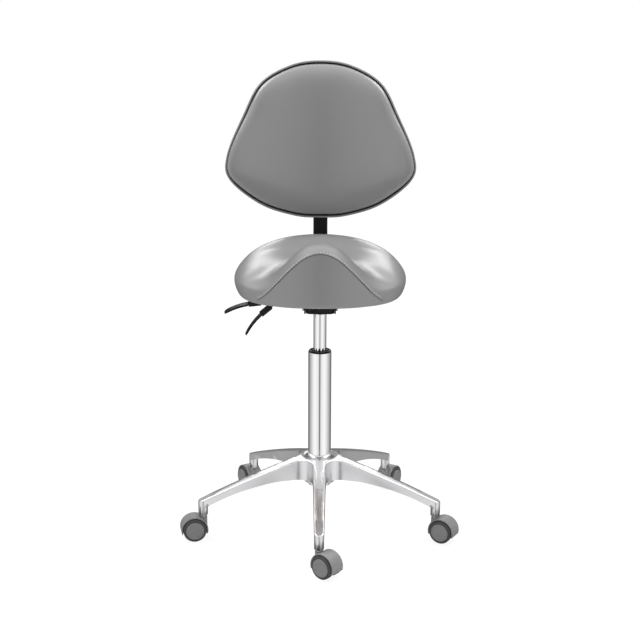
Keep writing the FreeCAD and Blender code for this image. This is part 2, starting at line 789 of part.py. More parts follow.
def seat_section(y, half, low, edge, thigh, ridge, width, power):
    """Closed outline across the saddle at one place along it."""
    steps = 16
    points = []
    for i in range(steps + 1):
        x = -half * cos(i * pi / steps)
        bell = exp(-abs(x / width) ** power)
        crown = thigh - edge + (ridge - thigh) * bell
        fade = max(0.0, 1 - abs(x / half) ** 5) ** 0.5
        points.append(V(x, y, edge + crown * fade))
    curve = Part.BSplineCurve()
    curve.interpolate(points)
    corners = [points[-1], V(half - seat_tuck, y, low), V(-half + seat_tuck, y, low), points[0]]
    sides = [Part.LineSegment(a, b).toShape() for a, b in zip(corners, corners[1:])]
    return Part.Wire([curve.toShape()] + sides)


def seat_cushion():
    body = Part.makeLoft([seat_section(*values) for values in seat_sections.values()], True)
    pocket = pan_profile(pan_top + soft_gap, 0).common(pan_plan(soft_gap))
    return body.cut(pocket)


# ---- back bar
bar_middle = bar_bend + bar_thickness / 2
bend_z = bar_level + bar_thickness + bar_bend


def on_upright(shape):
    """Places a shape drawn round the upright leg, whose middle is the Z axis."""
    lean = radians(back_lean)
    placed = turned(shape, -back_lean, X_AXIS)
    return moved(placed, 0, bar_bend_y + bar_middle * cos(lean), bend_z - bar_middle * sin(lean))


def back_bar():
    half = bar_width / 2
    level = box(-half, half, bar_front, bar_bend_y, bar_level, bar_level + bar_thickness)
    corner = Part.Face(Part.makePolygon([
        V(-half, bar_bend_y, bar_level), V(half, bar_bend_y, bar_level),
        V(half, bar_bend_y, bar_level + bar_thickness), V(-half, bar_bend_y, bar_level + bar_thickness),
        V(-half, bar_bend_y, bar_level)]))
    bend = corner.revolve(V(0, bar_bend_y, bend_z), X_AXIS, 90 - back_lean)
    upright = box(-half, half, -bar_thickness / 2, bar_thickness / 2, 0, bar_upright)
    upright = rounded(upright, half - 4, Y_AXIS, lambda p: p.z > bar_upright / 2)
    return fuse([level, bend, on_upright(upright)])


def clamp_knob(stud_length):
    """Lobed knob on +Z: its stud's tip is at the origin and points down."""
    base = stud_length + knob_stand
    knob = rod(knob_radius, V(0, 0, base), Z_AXIS, knob_height)
    for i in range(knob_lobes):
        angle = radians(i * 360 / knob_lobes)
        reach = knob_radius + knob_scallop / 2
        knob = knob.cut(rod(knob_scallop, V(reach * cos(angle), reach * sin(angle), base), Z_AXIS, knob_height))
    knob = knob.makeFillet(1.5, [e for e in knob.Edges if e.BoundBox.ZMin > base + knob_height - 0.1])
    collar = rod(stud_radius + 4, V(0, 0, stud_length + 0.5), Z_AXIS, knob_stand)
    return fuse([knob, collar, rod(stud_radius, ORIGIN, Z_AXIS, base + 2)])


# ---- backrest, drawn round the upright leg
shell_back = -(bar_thickness / 2 + body_gap + slider_wall)


def back_outline(inset):
    """Prism of the backrest's outline, through its whole depth, drawn in by inset."""
    top = back_bottom + back_height - inset
    low = back_bottom + inset
    corner = back_bottom + back_low_corner
    half_top = back_half_top - inset
    half_low = back_half_low - inset
    deep = -200
    left_top = V(-half_top, deep, top - back_top_bow)
    right_top = V(half_top, deep, top - back_top_bow)
    left_low = V(-half_low, deep, corner)
    right_low = V(half_low, deep, corner)
    left_foot = V(-half_low * 0.62, deep, low + back_low_bow * 0.62)
    right_foot = V(half_low * 0.62, deep, low + back_low_bow * 0.62)
    edges = [
        Part.Arc(left_top, V(0, deep, top), right_top).toShape(),
        Part.LineSegment(right_top, right_low).toShape(),
        Part.LineSegment(right_low, right_foot).toShape(),
        Part.Arc(right_foot, V(0, deep, low), left_foot).toShape(),
        Part.LineSegment(left_foot, left_low).toShape(),
        Part.LineSegment(left_low, left_top).toShape(),
    ]
    solid = Part.Face(Part.Wire(edges)).extrude(V(0, 300, 0))
    solid = rounded(solid, back_top_round, Y_AXIS, lambda p: p.z > corner + 20)
    solid = rounded(solid, back_low_round, Y_AXIS, lambda p: abs(p.z - corner) < 1)
    return rounded(solid, back_low_round, Y_AXIS, lambda p: p.z < corner - 30 and abs(p.x) > half_low * 0.5)


def back_curved(front, back):
    """Upright curved slab between two depths, bowed round the user."""
    centre = V(0, shell_back - back_curve, 0)
    low = back_bottom - 10
    height = back_height + 20
    return tube(back_curve + back, back_curve + front, centre + V(0, 0, low), Z_AXIS, height)


def backrest_shell():
    plate = back_outline(0).common(back_curved(-shell_depth, 0))
    pocket = back_outline(shell_rim).common(back_curved(-shell_depth - 1, -shell_wall))
    pad_half = slider_half + boss_margin
    low = slider_bottom - boss_margin
    pad = box(-pad_half, pad_half, shell_back - shell_wall, shell_back, low,
              slider_bottom + slider_height + boss_margin)
    pad = rounded(pad, 8, Y_AXIS)
    solid = fuse([plate.cut(pocket), pad.cut(back_curved(-2 * shell_depth, -shell_wall))])
    for x, z in slider_screw_places():
        solid = solid.cut(rod(screw_radius + seated, V(x, shell_back - shell_wall - 5, z), Y_AXIS, 20))
    return solid


def slider_screw_places():
    heights = (slider_bottom + slider_screw_inset, slider_bottom + slider_height - slider_screw_inset)
    return [(x, z) for x in (-slider_screw_x, slider_screw_x) for z in heights]


def backrest_cushion():
    front = -shell_wall - back_foam
    pad = back_outline(shell_rim + soft_gap).common(back_curved(front, -shell_wall - soft_gap))
    rim = [e for e in pad.Edges if all(
        abs(hypot(v.X, v.Y - shell_back + back_curve) - back_curve - front) < 0.01 for v in e.Vertexes)]
    return pad.makeFillet(back_foam_round, rim)


def back_slider():
    half = bar_width / 2 + body_gap
    deep = bar_thickness / 2 + body_gap
    top = slider_bottom + slider_height
    flange = box(-slider_half, slider_half, -deep - slider_wall, -deep, slider_bottom, top)
    flange = rounded(flange, 6, Y_AXIS)
    channel = box(-half - slider_wall, half + slider_wall, -deep - slider_wall, deep + slider_wall,
                  slider_bottom, top)
    channel = rounded(channel, 2.5, Z_AXIS, lambda p: p.y > 0)
    solid = fuse([flange, channel])
    solid = solid.cut(box(-half, half, -deep, deep, slider_bottom - 1, top + 1))
    middle = slider_bottom + slider_height / 2
    solid = solid.cut(rod(stud_radius + running, V(0, 0, middle), Y_AXIS, 30))
    for x, z in slider_screw_places():
        solid = solid.cut(rod(screw_radius + seated, V(x, -deep - slider_wall - 1, z), Y_AXIS, slider_wall + 2))
    return solid


def backrest_screws():
    head = -bar_thickness / 2 - body_gap
    length = slider_wall + shell_wall - 0.3
    return [fuse([rod(screw_head - 1, V(x, head, z), Y_AXIS, screw_head_height),
                  rod(screw_radius, V(x, head - length, z), Y_AXIS, length)])
            for x, z in slider_screw_places()]


# ---- the whole stool
def build():
    write("star_base", star_base())
    casters()
    write("column_tube", column_tube())
    write("guide_bush", guide_bush())
    write("thrust_bearing", *thrust_bearing())
    write("rod_clip", rod_clip())
    write("piston_rod", piston_rod())
    write("gas_cylinder", gas_cylinder())
    write("release_pin", release_pin())
    write("mechanism_housing", mechanism_housing())
    write("mechanism_pins", *mechanism_pins())
    lever("height", height_elbow, height_root, 4.0)
    lever("tilt", tilt_elbow, tilt_root, -6.0)
    write("seat_plate", seat_plate())
    write("seat_pan", seat_pan())
    write("seat_screws", *seat_screws())
    write("seat_cushion", seat_cushion())
    write("back_bar", back_bar())
    middle = (guide_front + guide_back) / 2
    depth_knob = turned(clamp_knob(guide_wall + body_gap), 180, X_AXIS)
    write("depth_knob", moved(depth_knob, 0, middle, bar_level - 0.1))
    write("backrest_shell", on_upright(backrest_shell()))
    write("backrest_cushion", on_upright(backrest_cushion()))
    write("back_slider", on_upright(back_slider()))
    write("backrest_screws", *[on_upright(screw) for screw in backrest_screws()])
    height_knob = turned(clamp_knob(slider_wall + body_gap), -90, X_AXIS)
    height_knob = moved(height_knob, 0, bar_thickness / 2 + 0.1, slider_bottom + slider_height / 2)
    write("height_knob", on_upright(height_knob))


build()
os.makedirs("parts", exist_ok=True)
for name, shape in parts.items():
    shape.exportStep(os.path.join("parts", name + ".step"))
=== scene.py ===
import json
import math

import bpy
from mathutils import Matrix, Vector

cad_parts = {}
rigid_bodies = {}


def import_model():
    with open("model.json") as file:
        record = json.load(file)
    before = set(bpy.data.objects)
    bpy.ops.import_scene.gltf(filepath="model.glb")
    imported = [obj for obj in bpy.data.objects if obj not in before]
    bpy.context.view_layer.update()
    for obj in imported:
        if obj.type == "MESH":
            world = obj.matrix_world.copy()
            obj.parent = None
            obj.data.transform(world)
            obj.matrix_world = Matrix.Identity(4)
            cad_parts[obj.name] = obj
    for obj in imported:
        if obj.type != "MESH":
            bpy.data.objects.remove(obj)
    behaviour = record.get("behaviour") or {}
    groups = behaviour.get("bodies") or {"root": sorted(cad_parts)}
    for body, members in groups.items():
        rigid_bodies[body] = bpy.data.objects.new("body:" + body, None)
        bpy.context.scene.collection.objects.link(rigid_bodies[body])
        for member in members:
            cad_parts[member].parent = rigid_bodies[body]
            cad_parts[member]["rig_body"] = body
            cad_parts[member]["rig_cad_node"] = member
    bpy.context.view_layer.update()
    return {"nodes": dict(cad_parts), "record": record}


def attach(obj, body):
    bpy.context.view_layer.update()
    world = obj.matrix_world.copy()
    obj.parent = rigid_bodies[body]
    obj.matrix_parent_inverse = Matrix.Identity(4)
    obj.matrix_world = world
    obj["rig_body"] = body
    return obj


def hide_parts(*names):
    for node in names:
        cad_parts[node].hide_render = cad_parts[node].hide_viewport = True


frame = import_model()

nodes = frame["nodes"]


# small helpers
weld = 1e-6


def deselectAll():
    bpy.ops.object.select_all(action="DESELECT")


def makeActive(piece):
    deselectAll()
    piece.select_set(True)
    bpy.context.view_layer.objects.active = piece


def applyAll(piece):
    makeActive(piece)
    for modifier in list(piece.modifiers):
        bpy.ops.object.modifier_apply(modifier=modifier.name)


def smoothShade(piece, degrees):
    makeActive(piece)
    bpy.ops.object.shade_smooth_by_angle(angle=math.radians(degrees))


def newPiece(name, points, faces):
    mesh = bpy.data.meshes.new(name)
    mesh.from_pydata(points, [], faces)
    mesh.update()
    piece = bpy.data.objects.new(name, mesh)
    bpy.context.scene.collection.objects.link(piece)
    return piece


def fixNormals(piece):
    makeActive(piece)
    bpy.ops.object.mode_set(mode="EDIT")
    bpy.ops.mesh.select_all(action="SELECT")
    bpy.ops.mesh.remove_doubles(threshold=weld)
    bpy.ops.mesh.normals_make_consistent(inside=False)
    bpy.ops.object.mode_set(mode="OBJECT")


# values along a line: smooth steps between (place, value) keys
def alongKeys(keys, at):
    if at <= keys[0][0]:
        return keys[0][1]
    for i in range(len(keys) - 1):
        (a, va), (b, vb) = keys[i], keys[i + 1]
        if at <= b:
            before = keys[i - 1] if i else (2 * a - b, va)
            after = keys[i + 2] if i + 2 < len(keys) else (2 * b - a, vb)
            slopeA = (vb - before[1]) / (b - before[0]) * (b - a)
            slopeB = (after[1] - va) / (after[0] - a) * (b - a)
            t = (at - a) / (b - a)
            return ((2 * t ** 3 - 3 * t ** 2 + 1) * va + (t ** 3 - 2 * t ** 2 + t) * slopeA
                    + (-2 * t ** 3 + 3 * t ** 2) * vb + (t ** 3 - t ** 2) * slopeB)
    return keys[-1][1]


# materials
textures = dict(toneDetail=4.0, toneRoughness=0.55, middle=0.5, cellSmoothness=0.4, fineDetail=2.0,
                fineScale=2.3, buffDetail=5.0, buffRoughness=0.6)


def newGroup(name, inputs, outputs):
    group = bpy.data.node_groups.new(name, "ShaderNodeTree")
    for label, kind, value in inputs:
        socket = group.interface.new_socket(label, in_out="INPUT", socket_type=kind)
        socket.default_value = value
    for label, kind in outputs:
        group.interface.new_socket(label, in_out="OUTPUT", socket_type=kind)
    return group, group.nodes.new("NodeGroupInput"), group.nodes.new("NodeGroupOutput")


def addNode(tree, kind, **settings):
    node = tree.nodes.new(kind)
    for key, value in settings.items():
        if key in ("operation", "data_type", "feature"):
            setattr(node, key, value)
        else:
            node.inputs[key.replace("_", " ")].default_value = value
    return node


def toneGroup():
    tree, start, end = newGroup("slowTone", [
        ("Colour", "NodeSocketColor", (0.5, 0.5, 0.5, 1)),
        ("Scale", "NodeSocketFloat", 8.0),
        ("Tone", "NodeSocketFloat", 0.06),
        ("Roughness", "NodeSocketFloat", 0.4),
        ("Roughness Change", "NodeSocketFloat", 0.06)],
        [("Colour", "NodeSocketColor"), ("Roughness", "NodeSocketFloat")])
    coordinates = tree.nodes.new("ShaderNodeTexCoord")
    noise = addNode(tree, "ShaderNodeTexNoise", Detail=textures["toneDetail"],
                    Roughness=textures["toneRoughness"])
    tree.links.new(coordinates.outputs["Object"], noise.inputs["Vector"])
    tree.links.new(start.outputs["Scale"], noise.inputs["Scale"])
    centred = addNode(tree, "ShaderNodeMath", operation="SUBTRACT")
    centred.inputs[1].default_value = textures["middle"]
    tree.links.new(noise.outputs["Fac"], centred.inputs[0])
    toned = addNode(tree, "ShaderNodeMath", operation="MULTIPLY_ADD")
    tree.links.new(centred.outputs[0], toned.inputs[0])
    tree.links.new(start.outputs["Tone"], toned.inputs[1])
    toned.inputs[2].default_value = 1.0
    scaled = addNode(tree, "ShaderNodeVectorMath", operation="SCALE")
    tree.links.new(start.outputs["Colour"], scaled.inputs[0])
    tree.links.new(toned.outputs[0], scaled.inputs["Scale"])
    tree.links.new(scaled.outputs[0], end.inputs["Colour"])
    rough = addNode(tree, "ShaderNodeMath", operation="MULTIPLY_ADD")
    tree.links.new(centred.outputs[0], rough.inputs[0])
    tree.links.new(start.outputs["Roughness Change"], rough.inputs[1])
    tree.links.new(start.outputs["Roughness"], rough.inputs[2])
    tree.links.new(rough.outputs[0], end.inputs["Roughness"])
    return tree


def grainGroup():
    group, start, end = newGroup("pebbleGrain", [
        ("Scale", "NodeSocketFloat", 900.0), ("Fine", "NodeSocketFloat", 0.35)],
        [("Height", "NodeSocketFloat")])
    coordinates = group.nodes.new("ShaderNodeTexCoord")
    cells = addNode(group, "ShaderNodeTexVoronoi", feature="SMOOTH_F1",
                    Smoothness=textures["cellSmoothness"])
    noise = addNode(group, "ShaderNodeTexNoise", Detail=textures["fineDetail"])
    finer = addNode(group, "ShaderNodeMath", operation="MULTIPLY")
    finer.inputs[1].default_value = textures["fineScale"]
    for texture in (cells, noise):
        group.links.new(coordinates.outputs["Object"], texture.inputs["Vector"])
    group.links.new(start.outputs["Scale"], cells.inputs["Scale"])
    group.links.new(start.outputs["Scale"], finer.inputs[0])
    group.links.new(finer.outputs[0], noise.inputs["Scale"])
    added = addNode(group, "ShaderNodeMath", operation="MULTIPLY_ADD")
    group.links.new(noise.outputs["Fac"], added.inputs[0])
    group.links.new(start.outputs["Fine"], added.inputs[1])
    group.links.new(cells.outputs["Distance"], added.inputs[2])
    group.links.new(added.outputs[0], end.inputs["Height"])
    return group


def buffGroup():
    group, start, end = newGroup("buffMarks", [
        ("Scale", "NodeSocketFloat", 60.0), ("Stretch", "NodeSocketFloat", 12.0)],
        [("Height", "NodeSocketFloat")])
    coordinates = group.nodes.new("ShaderNodeTexCoord")
    stretch = group.nodes.new("ShaderNodeCombineXYZ")
    for axis in ("X", "Y"):
        stretch.inputs[axis].default_value = 1.0
    group.links.new(start.outputs["Stretch"], stretch.inputs["Z"])
    pulled = addNode(group, "ShaderNodeVectorMath", operation="MULTIPLY")
    group.links.new(coordinates.outputs["Object"], pulled.inputs[0])
    group.links.new(stretch.outputs[0], pulled.inputs[1])
    noise = addNode(group, "ShaderNodeTexNoise", Detail=textures["buffDetail"],
                    Roughness=textures["buffRoughness"])
    group.links.new(pulled.outputs[0], noise.inputs["Vector"])
    group.links.new(start.outputs["Scale"], noise.inputs["Scale"])
    group.links.new(noise.outputs["Fac"], end.inputs["Height"])
    return group


slowTone = toneGroup()
pebbleGrain = grainGroup()
buffMarks = buffGroup()


def placeGroup(tree, group, **values):
    node = tree.nodes.new("ShaderNodeGroup")
    node.node_tree = group
    for key, value in values.items():
        node.inputs[key.replace("_", " ")].default_value = value
    return node


def makeMaterial(name, colour, roughness, metallic=0.0, toneScale=8.0, tone=0.08, roughChange=0.08,
                 grain=None, marks=None, bump=0.0, coat=0.0, coatRoughness=0.1, level=0.5):
    material = bpy.data.materials.new(name)
    material.use_nodes = True
    tree = material.node_tree
    shader = tree.nodes["Principled BSDF"]
    shader.inputs["Metallic"].default_value = metallic
    shader.inputs["Coat Weight"].default_value = coat
    shader.inputs["Coat Roughness"].default_value = coatRoughness
    shader.inputs["Specular IOR Level"].default_value = level
    tones = placeGroup(tree, slowTone, Colour=(*colour, 1), Scale=toneScale, Tone=tone,
                       Roughness=roughness, Roughness_Change=roughChange)
    tree.links.new(tones.outputs["Colour"], shader.inputs["Base Color"])
    tree.links.new(tones.outputs["Roughness"], shader.inputs["Roughness"])
    relief = None
    if grain:
        relief = placeGroup(tree, pebbleGrain, Scale=grain)
    if marks:
        relief = placeGroup(tree, buffMarks, Scale=marks)
    if relief:
        bumped = tree.nodes.new("ShaderNodeBump")
        bumped.inputs["Strength"].default_value = 1.0
        bumped.inputs["Distance"].default_value = bump
        tree.links.new(relief.outputs["Height"], bumped.inputs["Height"])
        tree.links.new(bumped.outputs["Normal"], shader.inputs["Normal"])
    return material


finishes = {
    "polished_aluminium": makeMaterial("polishedCasting", (0.78, 0.78, 0.79), 0.3, metallic=1.0,
                                       toneScale=9, tone=0.06, roughChange=0.08, marks=45,
                                       bump=0.0001),
    "chrome": makeMaterial("mirrorChrome", (0.93, 0.93, 0.94), 0.05, metallic=1.0, toneScale=25,
                           tone=0.02, roughChange=0.03),
    "bright_steel": makeMaterial("groundSteel", (0.62, 0.62, 0.63), 0.28, metallic=1.0, marks=200,
                                 bump=0.00004),
    "zinc_steel": makeMaterial("zincPlate", (0.5, 0.52, 0.54), 0.35, metallic=1.0, toneScale=60,
                               tone=0.2, grain=1500, bump=0.00003),
    "black_steel": makeMaterial("blackPowderCoat", (0.007, 0.007, 0.008), 0.4, toneScale=30,
                                tone=0.3, grain=1400, bump=0.00005, level=0.2),
    "black_plastic": makeMaterial("blackMoulding", (0.006, 0.006, 0.007), 0.22, toneScale=25,
                                  tone=0.25, grain=2200, bump=0.00002, level=0.3),
    "plywood": makeMaterial("birchPly", (0.52, 0.37, 0.22), 0.6, toneScale=30, tone=0.35, marks=120,
                            bump=0.0002),
    "grey_vinyl": makeMaterial("greyVinyl", (0.285, 0.285, 0.288), 0.34, toneScale=7, tone=0.05,
                               roughChange=0.05, grain=1000, bump=0.00005, level=0.6,
                               coat=0.7, coatRoughness=0.24),
    "grey_plastic": makeMaterial("greyHoodPlastic", (0.3, 0.3, 0.305), 0.4, toneScale=30, tone=0.06,
                                 grain=1800, bump=0.00003),
    "wheel_plastic": makeMaterial("greyWheelPlastic", (0.24, 0.24, 0.245), 0.45, toneScale=30,
                                  tone=0.06, grain=1800, bump=0.00003),
    "soft_tread": makeMaterial("charcoalTread", (0.055, 0.056, 0.06), 0.6, toneScale=60, tone=0.25,
                               grain=1200, bump=0.00006),
}
greyThread = makeMaterial("greyThread", (0.6, 0.6, 0.605), 0.6, toneScale=900, tone=0.3)
creaseShade = makeMaterial("creaseShade", (0.07, 0.07, 0.072), 0.7, toneScale=300, tone=0.3,
                           level=0.2)
slotOf = {entry["node"]: entry["material_slot"] for entry in frame["record"]["subparts"]}
bodyOf = {}
for body, members in frame["record"]["behaviour"]["bodies"].items():
    for node in members:
        bodyOf[node] = body
for node, piece in nodes.items():
    piece.data.materials.clear()
    piece.data.materials.append(finishes[slotOf[node]])
print("materials placed on", len(nodes), "CAD pieces")


# smooth copies stand for the CAD pieces, whose own meshes are loose triangles
smoothCopies = dict(angle=30, modelledHere=("seat_cushion", "backrest_cushion", "backrest_shell"))


def smoothCopy(node):
    piece = nodes[node].copy()
    piece.data = nodes[node].data.copy()
    piece.parent = None
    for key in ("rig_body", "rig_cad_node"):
        if key in piece:
            del piece[key]
    piece.name = "smooth_" + node
    piece.data.name = piece.name
    bpy.context.scene.collection.objects.link(piece)
    makeActive(piece)
    bpy.ops.object.mode_set(mode="EDIT")
    bpy.ops.mesh.select_all(action="SELECT")
    bpy.ops.mesh.remove_doubles(threshold=weld)
    bpy.ops.object.mode_set(mode="OBJECT")
    smoothShade(piece, smoothCopies["angle"])
    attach(piece, bodyOf[node])
    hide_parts(node)


for node in sorted(nodes):
    if node not in smoothCopies["modelledHere"]:
        smoothCopy(node)

# the seat board is drawn in a little, so that the cover wraps it all round
board = dict(share=0.93, middleY=0.02)
seatBoard = bpy.data.objects["smooth_seat_pan"]
for vertex in seatBoard.data.vertices:
    vertex.co.x *= board["share"]
    vertex.co.y = board["middleY"] + (vertex.co.y - board["middleY"]) * board["share"]
print("smooth copies made")


# padded seat: rings of points from the pan's pocket out, up the wall and over the top
seat = dict(
    halfWidth=0.185, frontY=-0.165, rearY=0.193, midY=0.04, frontPower=2.2, rearPower=2.6,
    low=0.530, rearLift=0.009, rearLiftFrom=0.14, rearLiftTo=0.19,
    pocketTop=0.5595, pocketInset=0.0235, pocketLip=0.002, pocketShares=(0.2, 0.4, 0.6, 0.8, 1.0),
    widest=0.555, rimSoft=0.02, frontTuck=0.003, sideTuck=0.022, tuckFrom=-0.1, tuckTo=0.08,
    bellLow=0.524, bellRise=0.121, bellReach=0.167, bellEnd=0.143, bellFade=0.02, rollOver=0.004,
    seamAboveLow=0.004,
    sideRound=4.5, frontRound=9.0,
    ridge=[(-0.165, 0.650), (-0.12, 0.659), (-0.09, 0.646), (-0.05, 0.624), (0.005, 0.606),
           (0.075, 0.614), (0.135, 0.6315), (0.193, 0.628)],
    thigh=[(-0.165, 0.570), (-0.12, 0.579), (-0.05, 0.584), (0.005, 0.587), (0.075, 0.598),
           (0.135, 0.612), (0.193, 0.606)],
    ridgeHalf=[(-0.165, 0.088), (-0.12, 0.085), (-0.05, 0.088), (0.005, 0.100), (0.075, 0.120),
               (0.135, 0.150)],
    ridgePower=[(-0.165, 2.6), (-0.12, 2.5), (-0.05, 2.2), (0.005, 2.0)],
    around=192, panelRings=12, seamStep=0.0016, rollRings=4, topRings=36,
    swell=0.004, pressure=4.0, heldAboveLow=0.004, heldMargin=0.002, heldAbovePocket=0.001,
    grooveDepth=0.0016)


def eased(start, end, at):
    share = min(1.0, max(0.0, (at - start) / (end - start)))
    return share * share * (3 - 2 * share)


def softMax(a, b, soft):
    near = max(soft - abs(a - b), 0.0) / soft
    return max(a, b) + near * near * soft / 4


def seatOutline(angle, inset=0.0):
    # angle runs from +X towards +Y
    rear = math.sin(angle) >= 0
    power = seat["rearPower"] if rear else seat["frontPower"]
    length = (seat["rearY"] - seat["midY"]) if rear else (seat["midY"] - seat["frontY"])
    cosine, sine = math.cos(angle), math.sin(angle)
    x = (seat["halfWidth"] - inset) * math.copysign(abs(cosine) ** (2 / power), cosine)
    y = seat["midY"] + (length - inset) * math.copysign(abs(sine) ** (2 / power), sine)
    return x, y


def bellShare(angle):
    # 1 at the middle of the front panel, 0 from its ends round the sides and rear
    x, y = seatOutline(angle)
    if y > seat["midY"] or abs(x) > seat["bellReach"]:
        return 0.0
    return math.cos(math.pi / 2 * x / seat["bellReach"]) ** 2


def wallHeights(angle):
    # lower edge, panel seam, and the line where the top starts to roll over
    x, y = seatOutline(angle)
    low = seat["low"] + seat["rearLift"] * eased(seat["rearLiftFrom"], seat["rearLiftTo"], y)
    bell = seat["bellLow"] + seat["bellRise"] * bellShare(angle)
    rim = softMax(bell + seat["rollOver"], seat["widest"], seat["rimSoft"])
    seam = min(max(bell, low + seat["seamAboveLow"]), rim - seat["rollOver"] / 2)
    return low, seam, rim


def wallPoint(angle, height, low, rim):
    # the wall is drawn in towards its lower edge, less at the front than at the sides
    x, y = seatOutline(angle)
    sideways = eased(seat["tuckFrom"], seat["tuckTo"], y)
    tuck = seat["frontTuck"] + (seat["sideTuck"] - seat["frontTuck"]) * sideways
    down = 1 - (height - low) / (rim - low)
    draw = 1 - math.sqrt(max(0.0, 1 - down * down))
    return (*seatOutline(angle, tuck * draw), height)


def saddleHeight(x, y):
    thigh = alongKeys(seat["thigh"], y)
    ridge = alongKeys(seat["ridge"], y)
    share = abs(x) / alongKeys(seat["ridgeHalf"], y)
    return thigh + (ridge - thigh) * math.exp(-share ** alongKeys(seat["ridgePower"], y))


def makeSeatShape():
    around = seat["around"]
    angles = [2 * math.pi * (i + 0.5) / around for i in range(around)]
    heights = [wallHeights(angle) for angle in angles]
    middle = seat["midY"]
    rings = []
    pocket = [seatOutline(angle, seat["pocketInset"]) for angle in angles]
    for share in seat["pocketShares"]:
        rings.append([(x * share, middle + (y - middle) * share, seat["pocketTop"])
                      for x, y in pocket])
    rings.append([(x, y, low + seat["pocketLip"])
                  for (x, y), (low, seam, rim) in zip(pocket, heights)])
    step = seat["seamStep"]
    for i in range(seat["panelRings"]):
        share = i / (seat["panelRings"] - 1)
        rings.append([wallPoint(angle, low + (seam - step - low) * share, low, rim)
                      for angle, (low, seam, rim) in zip(angles, heights)])
    seamRing = len(rings)
    for i in range(seat["rollRings"] + 2):
        ring = []
        for angle, (low, seam, rim) in zip(angles, heights):
            first = seam + min(step, (rim - seam) / 2)
            height = seam if i == 0 else first + (rim - first) * (i - 1) / seat["rollRings"]
            ring.append(wallPoint(angle, height, low, rim))
        rings.append(ring)
    for i in range(1, seat["topRings"]):
        share = math.cos(i / seat["topRings"] * math.pi / 2)
        ring = []
        for angle, (low, seam, rim) in zip(angles, heights):
            ox, oy = seatOutline(angle)
            x, y = ox * share, middle + (oy - middle) * share
            power = seat["sideRound"] + (seat["frontRound"] - seat["sideRound"]) * bellShare(angle)
            ring.append((x, y, rim + (saddleHeight(x, y) - rim) * math.sqrt(1 - share ** power)))
        rings.append(ring)
    points = [point for ring in rings for point in ring]
    faces = []
    for r in range(len(rings) - 1):
        for i in range(around):
            j = (i + 1) % around
            faces.append((r * around + i, r * around + j,
                          (r + 1) * around + j, (r + 1) * around + i))
    points.append((0.0, middle, seat["pocketTop"]))
    points.append((0.0, middle, saddleHeight(0.0, middle)))
    last = (len(rings) - 1) * around
    for i in range(around):
        j = (i + 1) % around
        faces.append((j, i, len(points) - 2))
        faces.append((last + i, last + j, len(points) - 1))
    piece = newPiece("seatCover", points, faces)
    fixNormals(piece)
    return piece, seamRing * around


# the soft filling's cloth: its settings, frames, and how often the swelling is shared out
filling = dict(quality=5, mass=0.3, stiffness=30, bending=2, frames=20, shareRounds=30)


# each point's swelling is capped, then shared with its neighbours so that the cover stays even
def evenOut(piece, before, cap, fixed):
    moves = []
    for vertex, start in zip(piece.data.vertices, before):
        move = vertex.co - start
        moves.append(move.normalized() * cap if move.length > cap else move)
    nearby = [[] for move in moves]
    for edge in piece.data.edges:
        first, last = edge.vertices
        nearby[first].append(last)
        nearby[last].append(first)
    for turn in range(filling["shareRounds"]):
        moves = [move if i in fixed else
                 (move + sum((moves[k] for k in nearby[i]), Vector()) / len(nearby[i])) / 2
                 for i, move in enumerate(moves)]
    for vertex, start, move in zip(piece.data.vertices, before, moves):
        vertex.co = start + move


# the cover swells a little under pressure, except where it is held
def inflate(piece, pressure, cap, holdTest):
    held = {v.index for v in piece.data.vertices if holdTest(v.co)}
    piece.vertex_groups.new(name="held").add(sorted(held), 1.0, "REPLACE")
    before = [v.co.copy() for v in piece.data.vertices]
    cloth = piece.modifiers.new("cloth", "CLOTH")
    cloth.settings.quality = filling["quality"]
    cloth.settings.mass = filling["mass"]
    cloth.settings.use_pressure = True
    cloth.settings.uniform_pressure_force = pressure
    cloth.settings.tension_stiffness = filling["stiffness"]
    cloth.settings.compression_stiffness = filling["stiffness"]
    cloth.settings.bending_stiffness = filling["bending"]
    cloth.settings.vertex_group_mass = "held"
    cloth.settings.effector_weights.gravity = 0
    cloth.collision_settings.use_collision = False
    cloth.collision_settings.use_self_collision = False
    cloth.point_cache.frame_start = 1
    cloth.point_cache.frame_end = filling["frames"]
    for step in range(filling["frames"]):
        bpy.context.scene.frame_set(step + 1)
    applyAll(piece)
    evenOut(piece, before, cap, held)
    bpy.context.scene.frame_set(1)
    piece.vertex_groups.clear()


def finishPad(piece, smoothing):
    if smoothing:
        soften = piece.modifiers.new("soften", "SMOOTH")
        soften.factor = 0.5
        soften.iterations = smoothing
    finer = piece.modifiers.new("finer", "SUBSURF")
    finer.levels = 1
    finer.render_levels = 1
    applyAll(piece)
    for polygon in piece.data.polygons:
        polygon.use_smooth = True


# the panel seam is drawn in along its own ring of points
def drawSeam(piece, first):
    normals = [v.normal.copy() for v in piece.data.vertices]
    for i in range(seat["around"]):
        vertex = piece.data.vertices[first + i]
        fade = 1 - eased(seat["bellEnd"] - seat["bellFade"], seat["bellEnd"], abs(vertex.co.x))
        if vertex.co.y < seat["midY"]:
            vertex.co -= normals[first + i] * seat["grooveDepth"] * fade


def heldOnSeat(p):
    # the lower edge and the pocket round the pan stay where they are
    inset = seat["pocketInset"]
    inPocket = (p.z < seat["pocketTop"] + seat["heldAbovePocket"]
                and abs(p.x) < seat["halfWidth"] - inset - seat["heldMargin"]
                and seat["frontY"] + inset < p.y < seat["rearY"] - inset)
    return p.z < seat["low"] + seat["heldAboveLow"] or inPocket


seatCover, seamStart = makeSeatShape()
inflate(seatCover, seat["pressure"], seat["swell"], heldOnSeat)
drawSeam(seatCover, seamStart)
finishPad(seatCover, 0)
seatCover.data.materials.append(finishes["grey_vinyl"])
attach(seatCover, "seat")
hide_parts("seat_cushion")
print("seat cover:", len(seatCover.data.polygons), "faces")


